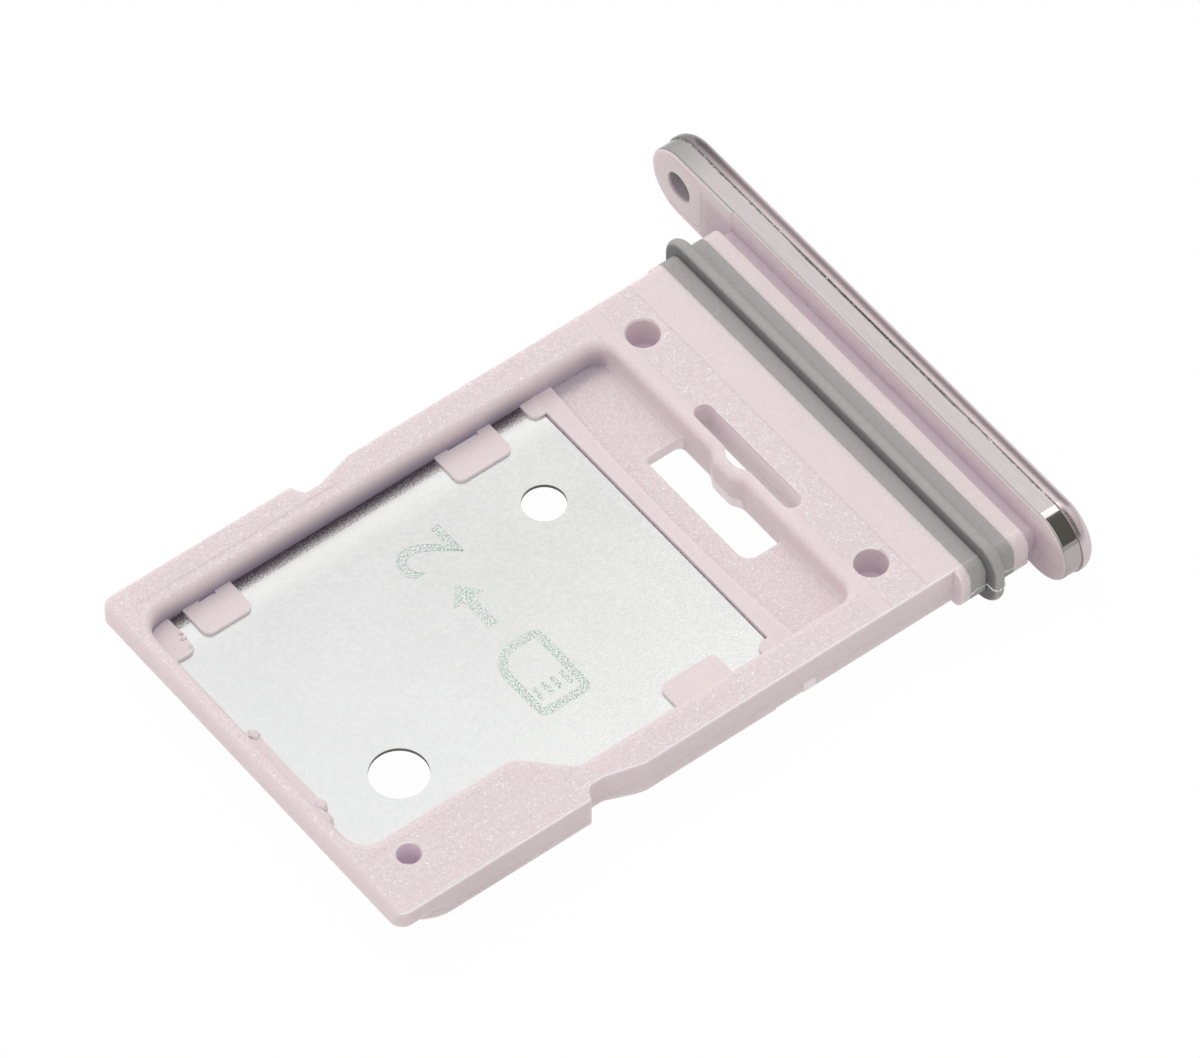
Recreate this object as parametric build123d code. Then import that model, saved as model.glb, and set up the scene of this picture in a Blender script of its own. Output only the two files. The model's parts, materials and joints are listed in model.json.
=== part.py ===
from build123d import *
import os

# A one-card tray of a phone or tablet, in millimetres.
# X runs from the end that goes in first to the cap, Y across, Z up.
# While it is built, X is added up from the insertion end, Y counts from the
# tray's centre line, and Z from the mid-plane the frame and the cap share.

# The memory card that the pocket takes
CARD_LENGTH = 15.0
CARD_WIDTH = 11.0
CARD_STEP = 1.3
CARD_THICKNESS = 0.7
CARD_NECK_LENGTH = 5.1

# Room left round the card
CARD_END_ROOM = 0.83
CARD_SIDE_ROOM = 0.07
CARD_TOP_ROOM = 0.1

# The frame
END_WALL = 0.57
RIM_WIDTH = 1.1
END_PROUD = 0.08
TRAY_HEIGHT = 1.25
END_RAISE = 0.18
RAISE_RAMP_START = 7.1
RAISE_RAMP_LENGTH = 1.0
TIP_HEIGHT = 0.58
TIP_SETBACK = 0.28
TIP_CORNER_RADIUS = 0.42
TIP_UNDER_RADIUS = 1.5
NOSE_LENGTH = 0.22
NOSE_HEIGHT = 0.44
EDGE_RADIUS = 0.1

# The catch notches in the two long sides
NOTCH_START = 6.5
NOTCH_STEEP = 0.2
NOTCH_FLAT = 0.5
NOTCH_RAMP = 1.2
NOTCH_DEPTH = 0.33
NOTCH_RADIUS = 0.25

# The pocket's corners and edges
POCKET_FAR_TIP_RADIUS = 0.7
POCKET_NEAR_TIP_RADIUS = 0.7
POCKET_FAR_RADIUS = 0.6
POCKET_NEAR_RADIUS = 0.45
SHOULDER_RADIUS = 0.5
POCKET_EDGE_RADIUS = 0.25
WALL_FOOT_RADIUS = 0.2

# The metal plate and what holds it down
PLATE_THICKNESS = 0.12
PLATE_GRIP = 0.32
PLATE_END_GRIP = 0.1
PLATE_CORNER_RADIUS = 0.35
PLATE_END_GAP = 0.07
PAD_THICKNESS = 0.1
PAD_RADIUS = 0.25
TAB_REACH = 1.13
TAB_LENGTH = 1.9
TAB_ALONG = 10.93
TIP_TAB_LENGTH = 1.6
TIP_TAB_ALONG = 2.18
SLIT_WIDTH = 0.12
SLIT_LENGTH = 1.04
TIP_SLIT_LENGTH = 0.56
CORNER_PAD_LENGTH = 0.45
CORNER_PAD_REACH = 0.64
TIP_PAD_LENGTH = 0.89
TIP_PAD_REACH = 1.32
END_STRIP_REACH = 0.46
END_STRIP_WIDTH = 3.4
END_STRIP_ACROSS = -0.5
UNDER_RIM = 0.95
UNDER_RADIUS = 0.5

# The round holes in the plate: the big one from the pocket's end wall, the small one from the ledge
BIG_HOLE_DIAMETER = 1.7
BIG_HOLE_ALONG = 2.72
BIG_HOLE_ACROSS = -2.4
SMALL_HOLE_DIAMETER = 1.28
SMALL_HOLE_SETBACK = 1.94
SMALL_HOLE_ACROSS = 2.52

# The recess behind the plate, with the ledge, the window, the spring and the slot
LEDGE_SETBACK = 2.45
LEDGE_WIDTH = 0.65
LEDGE_BOW = 0.24
RECESS_DROP = 0.05
WINDOW_WIDTH = 1.28
WINDOW_LENGTH = 4.53
WINDOW_ACROSS = -0.21
WINDOW_RADIUS = 0.4
WINDOW_FAR_RADIUS = 0.25
WINDOW_CORNER_RADIUS = 0.15
SPRING_THICKNESS = 0.33
SPRING_KINK = 0.2
BUMP_LENGTH = 1.5
BUMP_FLAT = 0.75
HOLLOW_LENGTH = 1.12
HOLLOW_FLAT = 0.4
KINK_RADIUS = 0.28
SLOT_WIDTH = 0.58
SLOT_LENGTH = 4.4
SLOT_ACROSS = -0.1
SLOT_RADIUS = 0.27

# The blind round holes in the frame
LAND_HOLE_DIAMETER = 0.98
LAND_HOLE_DEPTH = 1.05
LAND_HOLE_ALONG = 1.01
LAND_HOLE_ACROSS = 5.05
RIM_HOLE_DIAMETER = 0.7
RIM_HOLE_DEPTH = 0.9
RIM_HOLE_ALONG = 0.97
RIM_HOLE_ACROSS = 0.88
HOLE_EDGE = 0.05

# The relief in the lower edge of the two long sides
RELIEF_ALONG = 12.86
RELIEF_LENGTH = 0.93
RELIEF_DEPTH = 0.06
RELIEF_REACH = 0.5

# The neck, from the slot to the flange
LAND_LENGTH = 1.69
NECK_FAR_PROUD = 0.22
NECK_NEAR_PROUD = 0.38
NECK_HEIGHT = 1.4
NECK_RADIUS = 0.42
COLLAR_LENGTH = 0.31
SEAL_WIDTH = 1.49
SEAL_DEPTH = 0.35
RIB_HEIGHT = 0.4
RIB_WIDTH = 0.4
RIB_ROUNDING = 0.19
NECK_END_LENGTH = 0.5
GROOVE_WIDTH = 0.42
GROOVE_DEPTH = 0.25

# The cap
CAP_LENGTH = 18.3
CAP_HEIGHT = 2.44
CAP_OFFSET = 1.01
FLANGE_THICKNESS = 0.6
FLANGE_EDGE_RADIUS = 0.08
FLANGE_PAD_HEIGHT = 0.03
COVER_THICKNESS = 0.51
COVER_OVERHANG = 0.05
COVER_EDGE_RADIUS = 0.42
EJECT_DIAMETER = 1.0
EJECT_EDGE_RADIUS = 0.07

# How far a cut runs on past what it cuts
OVER = 1.0

# Heights
TOP = TRAY_HEIGHT / 2
BOTTOM = -TRAY_HEIGHT / 2
PLATE_TOP = TOP - CARD_THICKNESS - CARD_TOP_ROOM
PLATE_BOTTOM = PLATE_TOP - PLATE_THICKNESS
PAD_TOP = PLATE_TOP + PAD_THICKNESS
RECESS_FLOOR = PLATE_TOP - RECESS_DROP

# Places along X
POCKET_START = END_WALL
POCKET_END = POCKET_START + CARD_LENGTH + CARD_END_ROOM
LEDGE_START = POCKET_END - LEDGE_SETBACK
PLATE_START = POCKET_START - PLATE_END_GRIP
PLATE_END = LEDGE_START - PLATE_END_GAP
SHOULDER_START = POCKET_START + CARD_NECK_LENGTH
SHOULDER_END = SHOULDER_START + CARD_STEP
SLOT_START = POCKET_END + SPRING_THICKNESS
SLOT_END = SLOT_START + SLOT_WIDTH
COLLAR_START = SLOT_END + LAND_LENGTH
SEAL_START = COLLAR_START + COLLAR_LENGTH
SEAL_END = SEAL_START + SEAL_WIDTH
NECK_END = SEAL_END + NECK_END_LENGTH
FLANGE_START = NECK_END + GROOVE_WIDTH
COVER_START = FLANGE_START + FLANGE_THICKNESS
TRAY_LENGTH = COVER_START + COVER_THICKNESS

# Places across Y
POCKET_HALF = CARD_WIDTH / 2 + CARD_SIDE_ROOM
NARROW_EDGE = CARD_STEP - POCKET_HALF
PLATE_HALF = POCKET_HALF + PLATE_GRIP
FRAME_HALF = POCKET_HALF + RIM_WIDTH
END_HALF = FRAME_HALF + END_PROUD
NOTCH_HALF = FRAME_HALF - NOTCH_DEPTH
NECK_FAR = FRAME_HALF + NECK_FAR_PROUD
NECK_NEAR = -FRAME_HALF - NECK_NEAR_PROUD
EJECT_ACROSS = CAP_OFFSET + (CAP_LENGTH - CAP_HEIGHT) / 2


def slab(outline, low, high):
    """An outline drawn in plan, made solid between two heights."""
    return Pos(0, 0, low) * extrude(make_face(outline), high - low)


def block(x0, x1, y0, y1, z0, z1):
    """A box between two corners."""
    middle = Pos((x0 + x1) / 2, (y0 + y1) / 2, (z0 + z1) / 2)
    return middle * Box(x1 - x0, y1 - y0, z1 - z0)


def round_block(x0, x1, y0, y1, z0, z1, radius):
    """A box with its four upright edges rounded."""
    plan = Pos((x0 + x1) / 2, (y0 + y1) / 2, z0) * RectangleRounded(x1 - x0, y1 - y0, radius)
    return extrude(plan, z1 - z0)


def along(section, x0, x1):
    """A section drawn across the tray, made solid between two places along it."""
    return extrude(Plane.YZ.offset(x0) * section, x1 - x0)


def drill(diameter, x, y, low, high):
    """An upright round hole's tool."""
    return Pos(x, y, low) * extrude(Circle(diameter / 2), high - low)


def side_outline(start, corner_radius):
    """The frame's plan from one end, with a catch notch in each long side."""
    notch_bottom = NOTCH_START + NOTCH_STEEP
    notch_top = notch_bottom + NOTCH_FLAT
    side = [
        (start, END_HALF),
        (NOTCH_START, END_HALF),
        (notch_bottom, NOTCH_HALF),
        (notch_top, NOTCH_HALF),
        (notch_top + NOTCH_RAMP, FRAME_HALF),
        (COLLAR_START, FRAME_HALF),
    ]
    radii = [corner_radius, NOTCH_RADIUS / 2, NOTCH_RADIUS, NOTCH_RADIUS, 2 * NOTCH_RADIUS, 0]
    mirrored = [(x, -y) for x, y in reversed(side)]
    return FilletPolyline(*side, *mirrored, radius=radii + radii[::-1], close=True)


def side_profile():
    """The upper layer seen from the side, with its soft nose."""
    low = TOP - TIP_HEIGHT
    nose = TOP - NOSE_HEIGHT
    return make_face(
        [
            Line((0, low), (0, nose)),
            EllipticalCenterArc((NOSE_LENGTH, nose), NOSE_LENGTH, NOSE_HEIGHT, 90, arc_size=90),
            Polyline((NOSE_LENGTH, TOP), (COLLAR_START, TOP), (COLLAR_START, low), (0, low)),
        ]
    )


def frame_body():
    """The solid frame before anything is cut, thinner and stepped at the tip."""
    upper = slab(side_outline(0, TIP_CORNER_RADIUS), TOP - TIP_HEIGHT, TOP)
    rim = upper.edges().filter_by(lambda e: e.center().Z > TOP - EDGE_RADIUS / 4)
    upper = fillet(rim.filter_by(lambda e: e.center().X < COLLAR_START - EDGE_RADIUS), EDGE_RADIUS)
    upper = upper & extrude(Plane.XZ * side_profile(), 2 * END_HALF, both=True)
    lower = slab(side_outline(TIP_SETBACK, TIP_UNDER_RADIUS), BOTTOM, TOP - TIP_HEIGHT)
    ramp_end = RAISE_RAMP_START + RAISE_RAMP_LENGTH
    raised = Polyline(
        (-OVER, BOTTOM - OVER),
        (-OVER, BOTTOM + END_RAISE),
        (RAISE_RAMP_START, BOTTOM + END_RAISE),
        (ramp_end, BOTTOM),
        (ramp_end, BOTTOM - OVER),
        close=True,
    )
    under = extrude(Plane.XZ * make_face(raised), 2 * END_HALF, both=True)
    return upper + lower - under


def kink(x, length, flat):
    """The corners of the spring's kink towards the pocket, on a wall at x."""
    top = x - SPRING_KINK
    return [(x, length / 2), (top, flat / 2), (top, -flat / 2), (x, -length / 2)]


def pocket_outline():
    """The card's plan with its room, and the spring's kink in the wall behind it."""
    points = [
        (POCKET_START, POCKET_HALF),
        (POCKET_END, POCKET_HALF),
        *kink(POCKET_END, BUMP_LENGTH, BUMP_FLAT),
        (POCKET_END, -POCKET_HALF),
        (SHOULDER_END, -POCKET_HALF),
        (SHOULDER_START, NARROW_EDGE),
        (POCKET_START, NARROW_EDGE),
    ]
    radii = [POCKET_FAR_TIP_RADIUS, POCKET_FAR_RADIUS, *[KINK_RADIUS] * 4]
    radii += [POCKET_NEAR_RADIUS, SHOULDER_RADIUS, SHOULDER_RADIUS, POCKET_NEAR_TIP_RADIUS]
    return FilletPolyline(*points, radius=radii, close=True)


def ledge_block(start, low, high):
    """The ground in front of the recess, which ends in the ledge's bowed edge."""
    edge = LEDGE_START + LEDGE_WIDTH
    bowed = ThreePointArc((edge, -PLATE_HALF), (edge - LEDGE_BOW, 0), (edge, PLATE_HALF))
    rest = Polyline((edge, PLATE_HALF), (start, PLATE_HALF), (start, -PLATE_HALF), (edge, -PLATE_HALF))
    return slab([bowed, rest], low, high)


def cut_pocket(body):
    """Sinks the card pocket with its soft upper edge, the recess and the ledge."""
    body = body - slab(pocket_outline(), PLATE_TOP, TOP + OVER)
    rim = body.edges().filter_by(lambda e: e.center().Z > TOP - EDGE_RADIUS / 4)
    inside = rim.filter_by(lambda e: abs(e.center().Y) < POCKET_HALF + EDGE_RADIUS / 4)
    inside = inside.filter_by(lambda e: POCKET_START - EDGE_RADIUS < e.center().X < POCKET_END + EDGE_RADIUS)
    body = fillet(inside, POCKET_EDGE_RADIUS)
    sunk = slab(pocket_outline(), RECESS_FLOOR, PLATE_TOP)
    body = body - (sunk - ledge_block(-OVER, RECESS_FLOOR - OVER, TOP))
    foot = block(POCKET_END - WALL_FOOT_RADIUS, POCKET_END, -POCKET_HALF, POCKET_HALF, RECESS_FLOOR, PAD_TOP)
    bore = Plane.XZ * Pos(POCKET_END - WALL_FOOT_RADIUS, RECESS_FLOOR + WALL_FOOT_RADIUS) * Circle(WALL_FOOT_RADIUS)
    foot = foot - extrude(bore, 2 * POCKET_HALF, both=True)
    return body + ledge_block(LEDGE_START, PLATE_TOP, PAD_TOP) + foot


def pad(x0, x1, y0, y1):
    """A thin pad on the plate with round corners, its root buried in a wall."""
    return round_block(x0, x1, y0, y1, PLATE_TOP, PAD_TOP, PAD_RADIUS)


def slit(x, length, side):
    """The slit along the wall at a tab's root."""
    outer = side * POCKET_HALF
    inner = side * (POCKET_HALF - SLIT_WIDTH)
    return block(x - length / 2, x + length / 2, min(inner, outer), max(inner, outer), PLATE_TOP, PAD_TOP + OVER)


def hold_plate(body):
    """Adds the tabs and pads that keep the plate down, and their slits."""
    wall = POCKET_HALF + PAD_RADIUS
    tab = POCKET_HALF - TAB_REACH
    tip_tab = POCKET_START + TIP_TAB_ALONG
    mid_tab = POCKET_START + TAB_ALONG
    body = body + pad(tip_tab - TIP_TAB_LENGTH / 2, tip_tab + TIP_TAB_LENGTH / 2, tab, wall)
    body = body + pad(mid_tab - TAB_LENGTH / 2, mid_tab + TAB_LENGTH / 2, tab, wall)
    body = body + pad(mid_tab - TAB_LENGTH / 2, mid_tab + TAB_LENGTH / 2, -wall, -tab)
    # The pads in the corners, and the strip along the end wall
    root = POCKET_START - PAD_RADIUS
    body = body + pad(root, POCKET_START + TIP_PAD_LENGTH, POCKET_HALF - TIP_PAD_REACH, wall)
    strip_low = END_STRIP_ACROSS - END_STRIP_WIDTH / 2
    strip_high = END_STRIP_ACROSS + END_STRIP_WIDTH / 2
    body = body + pad(root, POCKET_START + END_STRIP_REACH, strip_low, strip_high)
    pad_start = LEDGE_START - CORNER_PAD_LENGTH
    pad_end = LEDGE_START + PAD_RADIUS
    body = body + pad(pad_start, pad_end, POCKET_HALF - CORNER_PAD_REACH, wall)
    body = body + pad(pad_start, pad_end, -wall, CORNER_PAD_REACH - POCKET_HALF)
    body = body - slit(tip_tab, TIP_SLIT_LENGTH, 1)
    return body - slit(mid_tab, SLIT_LENGTH, 1)


def plate_outline(end):
    """The plate's plan, stepped like the card, up to a given end."""
    points = [
        (PLATE_START, PLATE_HALF),
        (end, PLATE_HALF),
        (end, -PLATE_HALF),
        (SHOULDER_END, -PLATE_HALF),
        (SHOULDER_START, NARROW_EDGE - PLATE_GRIP),
        (PLATE_START, NARROW_EDGE - PLATE_GRIP),
    ]
    tip = PLATE_CORNER_RADIUS
    return FilletPolyline(*points, radius=[tip, 0, 0, tip, tip, tip], close=True)


def cut_openings(body):
    """Opens the plate's seat, the window below it, and the through and blind holes."""
    body = body - slab(plate_outline(LEDGE_START), PLATE_BOTTOM, PLATE_TOP)
    under_start = POCKET_START + UNDER_RIM
    under_end = LEDGE_START - UNDER_RIM
    under_far = POCKET_HALF - UNDER_RIM
    under_near = NARROW_EDGE + UNDER_RIM
    body = body - round_block(
        under_start, under_end, under_near, under_far, BOTTOM - OVER, PLATE_BOTTOM, UNDER_RADIUS
    )
    body = body - spring_window() - spring_slot()
    hole_x = SLOT_START + LAND_HOLE_ALONG - SPRING_THICKNESS
    for y in (-LAND_HOLE_ACROSS, LAND_HOLE_ACROSS):
        body = body - blind_hole(LAND_HOLE_DIAMETER, hole_x, y, LAND_HOLE_DEPTH)
    rim_x = POCKET_START + RIM_HOLE_ALONG
    body = body - blind_hole(RIM_HOLE_DIAMETER, rim_x, NARROW_EDGE - RIM_HOLE_ACROSS, RIM_HOLE_DEPTH)
    for side in (-1, 1):
        outer = side * (FRAME_HALF + OVER)
        inner = side * (FRAME_HALF - RELIEF_REACH)
        relief_end = RELIEF_ALONG + RELIEF_LENGTH
        low, high = min(inner, outer), max(inner, outer)
        body = body - block(RELIEF_ALONG, relief_end, low, high, BOTTOM - OVER, BOTTOM + RELIEF_DEPTH)
    return body


def blind_hole(diameter, x, y, depth):
    """A blind hole's tool, with a soft upper edge."""
    bore = drill(diameter, x, y, TOP - depth, TOP + OVER)
    soft = HOLE_EDGE
    lowest = (Align.CENTER, Align.CENTER, Align.MIN)
    mouth = Pos(x, y, TOP - soft) * Cone(diameter / 2, diameter / 2 + soft, soft, align=lowest)
    return bore + mouth


def spring_window():
    """The opening in front of the spring, which takes the side of its kink."""
    start = POCKET_END - WINDOW_WIDTH
    near = WINDOW_ACROSS - WINDOW_LENGTH / 2
    far = WINDOW_ACROSS + WINDOW_LENGTH / 2
    points = [(start, far), (POCKET_END, far), *kink(POCKET_END, BUMP_LENGTH, BUMP_FLAT)]
    points += [(POCKET_END, near), (start, near)]
    radii = [WINDOW_CORNER_RADIUS, WINDOW_FAR_RADIUS, *[KINK_RADIUS] * 4, WINDOW_CORNER_RADIUS, WINDOW_RADIUS]
    outline = FilletPolyline(*points, radius=radii, close=True)
    return slab(outline, BOTTOM - OVER, PAD_TOP)


def spring_slot():
    """The slot behind the spring, which frees it and follows its kink."""
    near = SLOT_ACROSS - SLOT_LENGTH / 2
    far = SLOT_ACROSS + SLOT_LENGTH / 2
    points = [(SLOT_END, far), (SLOT_END, near), (SLOT_START, near)]
    points += [*reversed(kink(SLOT_START, HOLLOW_LENGTH, HOLLOW_FLAT)), (SLOT_START, far)]
    ends = SLOT_RADIUS
    radii = [ends, ends, ends, *[KINK_RADIUS / 2] * 4, ends]
    outline = FilletPolyline(*points, radius=radii, close=True)
    return slab(outline, BOTTOM - OVER, TOP + OVER)


def neck_section(grow):
    """The neck's cross-section, larger or smaller all round."""
    width = NECK_FAR - NECK_NEAR + 2 * grow
    middle = Pos((NECK_FAR + NECK_NEAR) / 2, TOP - NECK_HEIGHT / 2)
    return middle * RectangleRounded(width, NECK_HEIGHT + 2 * grow, NECK_RADIUS + grow)


def cap_section(grow):
    """The cap's round-ended cross-section, larger or smaller all round."""
    return Pos(CAP_OFFSET, 0) * SlotOverall(CAP_LENGTH + 2 * grow, CAP_HEIGHT + 2 * grow)


def eject_hole():
    """The tool of the ejector pin's hole, round the same centre as the cap's end."""
    return along(Pos(EJECT_ACROSS, 0) * Circle(EJECT_DIAMETER / 2), FLANGE_START - OVER, TRAY_LENGTH + OVER)


def neck_and_flange():
    """The neck with the seal's groove and the outer groove, and the flange."""
    neck = along(neck_section(0), COLLAR_START, SEAL_START)
    neck = neck + along(neck_section(-SEAL_DEPTH), SEAL_START, SEAL_END)
    neck = neck + along(neck_section(0), SEAL_END, NECK_END)
    neck = neck + along(neck_section(-GROOVE_DEPTH), NECK_END, FLANGE_START)
    flange = along(cap_section(0), FLANGE_START, COVER_START)
    inner = flange.faces().sort_by(Axis.X)[0].edges()
    flange = fillet(inner, FLANGE_EDGE_RADIUS)
    # The raised pad round the ejector hole starts at the neck's side
    raised = along(cap_section(0), FLANGE_START - FLANGE_PAD_HEIGHT, COVER_START)
    pad_start = NECK_FAR - GROOVE_DEPTH - EDGE_RADIUS
    far_end = CAP_OFFSET + CAP_LENGTH
    keep = block(FLANGE_START - OVER, COVER_START, pad_start, far_end, -CAP_HEIGHT, CAP_HEIGHT)
    raised = raised & keep
    raised = fillet(raised.faces().sort_by(Axis.X)[0].edges(), FLANGE_EDGE_RADIUS)
    return neck + flange + raised - eject_hole()


def tray_frame():
    """The whole plastic moulding."""
    body = hold_plate(cut_pocket(frame_body()))
    return cut_openings(body) + neck_and_flange()


def base_plate():
    """The metal plate that the card lies on."""
    plate = slab(plate_outline(PLATE_END), PLATE_BOTTOM, PLATE_TOP)
    big = (POCKET_START + BIG_HOLE_ALONG, BIG_HOLE_ACROSS)
    small = (LEDGE_START - SMALL_HOLE_SETBACK, SMALL_HOLE_ACROSS)
    plate = plate - drill(BIG_HOLE_DIAMETER, *big, PLATE_BOTTOM, PLATE_TOP)
    return plate - drill(SMALL_HOLE_DIAMETER, *small, PLATE_BOTTOM, PLATE_TOP)


def seal_ring():
    """The rubber ring in the neck's groove, with a tall round rib along its middle."""
    middle = (SEAL_START + SEAL_END) / 2
    rib = along(neck_section(RIB_HEIGHT), middle - RIB_WIDTH / 2, middle + RIB_WIDTH / 2)
    faces = rib.faces().sort_by(Axis.X)
    rib = fillet(faces[0].edges() + faces[-1].edges(), RIB_ROUNDING)
    band = along(neck_section(0), SEAL_START, SEAL_END) + rib
    return band - along(neck_section(-SEAL_DEPTH), SEAL_START, SEAL_END)


def cap_cover():
    """The outer cover with its soft edge and the ejector pin's hole."""
    cover = along(cap_section(COVER_OVERHANG), COVER_START, TRAY_LENGTH)
    cover = fillet(cover.faces().sort_by(Axis.X)[-1].edges(), COVER_EDGE_RADIUS) - eject_hole()
    outer = cover.faces().sort_by(Axis.X)[-1]
    mouth = outer.edges().filter_by(GeomType.CIRCLE).filter_by(lambda e: e.radius < EJECT_DIAMETER)
    return fillet(mouth, EJECT_EDGE_RADIUS)


def write(name, shape):
    """Stands a part on the ground round the tray's middle and writes its file."""
    ground = CAP_HEIGHT / 2 + COVER_OVERHANG
    export_step(Pos(-TRAY_LENGTH / 2, -CAP_OFFSET, ground) * shape, f"parts/{name}.step")


def main():
    os.makedirs("parts", exist_ok=True)
    write("tray_frame", tray_frame())
    write("base_plate", base_plate())
    write("seal_ring", seal_ring())
    write("cap_cover", cap_cover())


main()
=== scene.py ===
"""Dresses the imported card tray: finishes, small moulding details, light and camera."""

import json
import logging
import math
from collections.abc import Callable
from dataclasses import dataclass
from enum import Enum
from functools import partial, reduce
from typing import Optional, Union

import bmesh
import bpy
from mathutils import Matrix, Vector


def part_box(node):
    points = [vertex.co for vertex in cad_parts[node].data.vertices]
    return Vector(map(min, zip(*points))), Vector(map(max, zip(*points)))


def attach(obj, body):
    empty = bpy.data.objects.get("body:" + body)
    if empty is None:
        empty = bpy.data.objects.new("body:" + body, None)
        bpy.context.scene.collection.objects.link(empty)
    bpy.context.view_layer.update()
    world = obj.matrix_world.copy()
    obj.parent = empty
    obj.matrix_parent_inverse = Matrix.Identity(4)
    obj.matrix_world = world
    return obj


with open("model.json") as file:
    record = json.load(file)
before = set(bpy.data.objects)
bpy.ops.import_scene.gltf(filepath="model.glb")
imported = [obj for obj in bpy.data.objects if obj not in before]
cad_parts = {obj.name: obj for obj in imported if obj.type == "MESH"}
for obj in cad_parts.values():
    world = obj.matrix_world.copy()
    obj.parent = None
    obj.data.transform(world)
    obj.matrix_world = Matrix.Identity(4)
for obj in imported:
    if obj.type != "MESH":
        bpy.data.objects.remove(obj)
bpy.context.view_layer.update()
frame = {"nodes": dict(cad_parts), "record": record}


MM = 0.001
SHARP = 0.01
FINE = 0.008
Socket = bpy.types.NodeSocket
Material = bpy.types.Material
Value = Union[Socket, float]
Colour = tuple[float, float, float]
Paint = Union[Socket, Colour]
Point = tuple[float, float, float]
Span = tuple[float, float]
log = logging.getLogger("card_tray")


class Slot(Enum):
    """The record's material slots."""

    PLASTIC = "pink_plastic"
    SHEET = "stainless_sheet"
    RUBBER = "grey_rubber"
    METAL = "pink_metal"


def millimetres(place: Vector) -> Point:
    """Gives a place in millimetres, to a tenth of a micrometre."""
    return tuple(round(value / MM, 4) for value in place)


def corner(node: str, side: int) -> Point:
    """Gives a node's lowest corner, side 0, or its highest, side 1."""
    return millimetres(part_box(node)[side])


def mount(name: str) -> Point:
    """Gives the place of one of the record's mounts."""
    return millimetres(next(m["pos_m"] for m in frame["record"]["mounts"] if m["name"] == name))


@dataclass(frozen=True)
class TrayPlan:
    """Places on the tray in the row frame, in millimetres, worked out from the nodes' corners."""

    tip: float = corner("tray_frame", 0)[0]
    pocket_end: float = tip + 16.4
    grain_start: float = pocket_end + 0.51
    grain_end: float = pocket_end + 1.73
    seal_start: float = corner("seal_ring", 0)[0]
    seal_end: float = corner("seal_ring", 1)[0]
    neck_end: float = seal_end + 0.5
    flange_end: float = corner("cap_cover", 0)[0]
    flange_start: float = flange_end - 0.6
    plate_top: float = corner("base_plate", 1)[2]
    recess_floor: float = plate_top - 0.05
    parting: float = plate_top - 0.065
    pad_top: float = plate_top + 0.1
    top: float = plate_top + 0.8
    neck_corner: Span = (-7.662, -7.638)
    cap_middle: float = mount("ejector_hole")[2]
    cap_half_run: float = mount("ejector_hole")[1]
    cap_half_height: float = cap_middle - corner("tray_frame", 0)[2]


PLAN = TrayPlan()


def srgb(red: float, green: float, blue: float) -> Colour:
    """Turns a screen colour, 0 to 255, into the shader's linear colour."""
    shares = (red / 255, green / 255, blue / 255)
    return tuple(s / 12.92 if s <= 0.04045 else ((s + 0.055) / 1.055) ** 2.4 for s in shares)


class Board:
    """Lays out a tree of shader nodes."""

    def __init__(self, tree: bpy.types.NodeTree) -> None:
        """Takes a tree and empties it."""
        self.tree = tree
        self.tree.nodes.clear()

    def fill(self, node: bpy.types.Node, **values: Value) -> None:
        """Feeds a node's inputs, named with underscores for spaces."""
        for name, value in values.items():
            self.feed(value, node.inputs[name.replace("_", " ")])

    def add(self, kind: str, **values: Value) -> bpy.types.Node:
        """Adds a node and feeds its inputs.

        Args:
            kind: the node's type.
            values: what goes into its inputs.

        Returns:
            The node.
        """
        node = self.tree.nodes.new(kind)
        self.fill(node, **values)
        return node

    def join(self, source: Socket, target: Socket) -> None:
        """Links two sockets."""
        self.tree.links.new(source, target)

    def feed(self, value: Value, target: Socket) -> None:
        """Gives a socket a number, a colour or a link."""
        if isinstance(value, Socket):
            self.join(value, target)
        else:
            target.default_value = value

    def sum(self, operation: str, first: Value, second: Value = 0.0, clamp: bool = False) -> Socket:
        """Works out one number from two.

        Args:
            operation: the Math node's operation.
            first: the first number or socket.
            second: the second number or socket.
            clamp: whether the result is kept from 0 to 1.

        Returns:
            The result's socket.
        """
        node = self.add("ShaderNodeMath")
        node.operation = operation
        node.use_clamp = clamp
        self.feed(first, node.inputs[0])
        self.feed(second, node.inputs[1])
        return node.outputs[0]

    def times(self, *numbers: Value) -> Socket:
        """Multiplies numbers."""
        return reduce(partial(self.sum, "MULTIPLY"), numbers)

    def plus(self, *numbers: Value) -> Socket:
        """Adds numbers."""
        return reduce(partial(self.sum, "ADD"), numbers)

    def either(self, *masks: Value) -> Socket:
        """Takes the largest of some masks."""
        return reduce(partial(self.sum, "MAXIMUM"), masks)

    def but(self, mask: Socket) -> Socket:
        """Turns a mask round."""
        return self.sum("SUBTRACT", 1.0, mask)

    def ramp(self, value: Value, low: float, high: float, start: float = 0.0, end: float = 1.0) -> Socket:
        """Maps a number smoothly from one range to another.

        Args:
            value: the number to map.
            low: where the rise starts.
            high: where the rise ends.
            start: the result at low.
            end: the result at high.

        Returns:
            The result's socket.
        """
        ends = {"From_Min": low, "From_Max": high, "To_Min": start, "To_Max": end}
        node = self.add("ShaderNodeMapRange", Value=value, **ends)
        node.interpolation_type = "SMOOTHSTEP"
        return node.outputs["Result"]

    def past(self, value: Socket, place: float, soft: float = SHARP) -> Socket:
        """Is 0 before a place and 1 past it, with a soft edge."""
        return self.ramp(value, place - soft, place + soft)

    def before(self, value: Socket, place: float, soft: float = SHARP) -> Socket:
        """Is 1 before a place and 0 past it, with a soft edge."""
        return self.ramp(value, place - soft, place + soft, 1.0, 0.0)

    def within(self, value: Socket, span: Span, soft: float = SHARP) -> Socket:
        """Is 1 inside a span and 0 outside, with soft ends."""
        return self.times(self.past(value, span[0], soft), self.before(value, span[1], soft))


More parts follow.
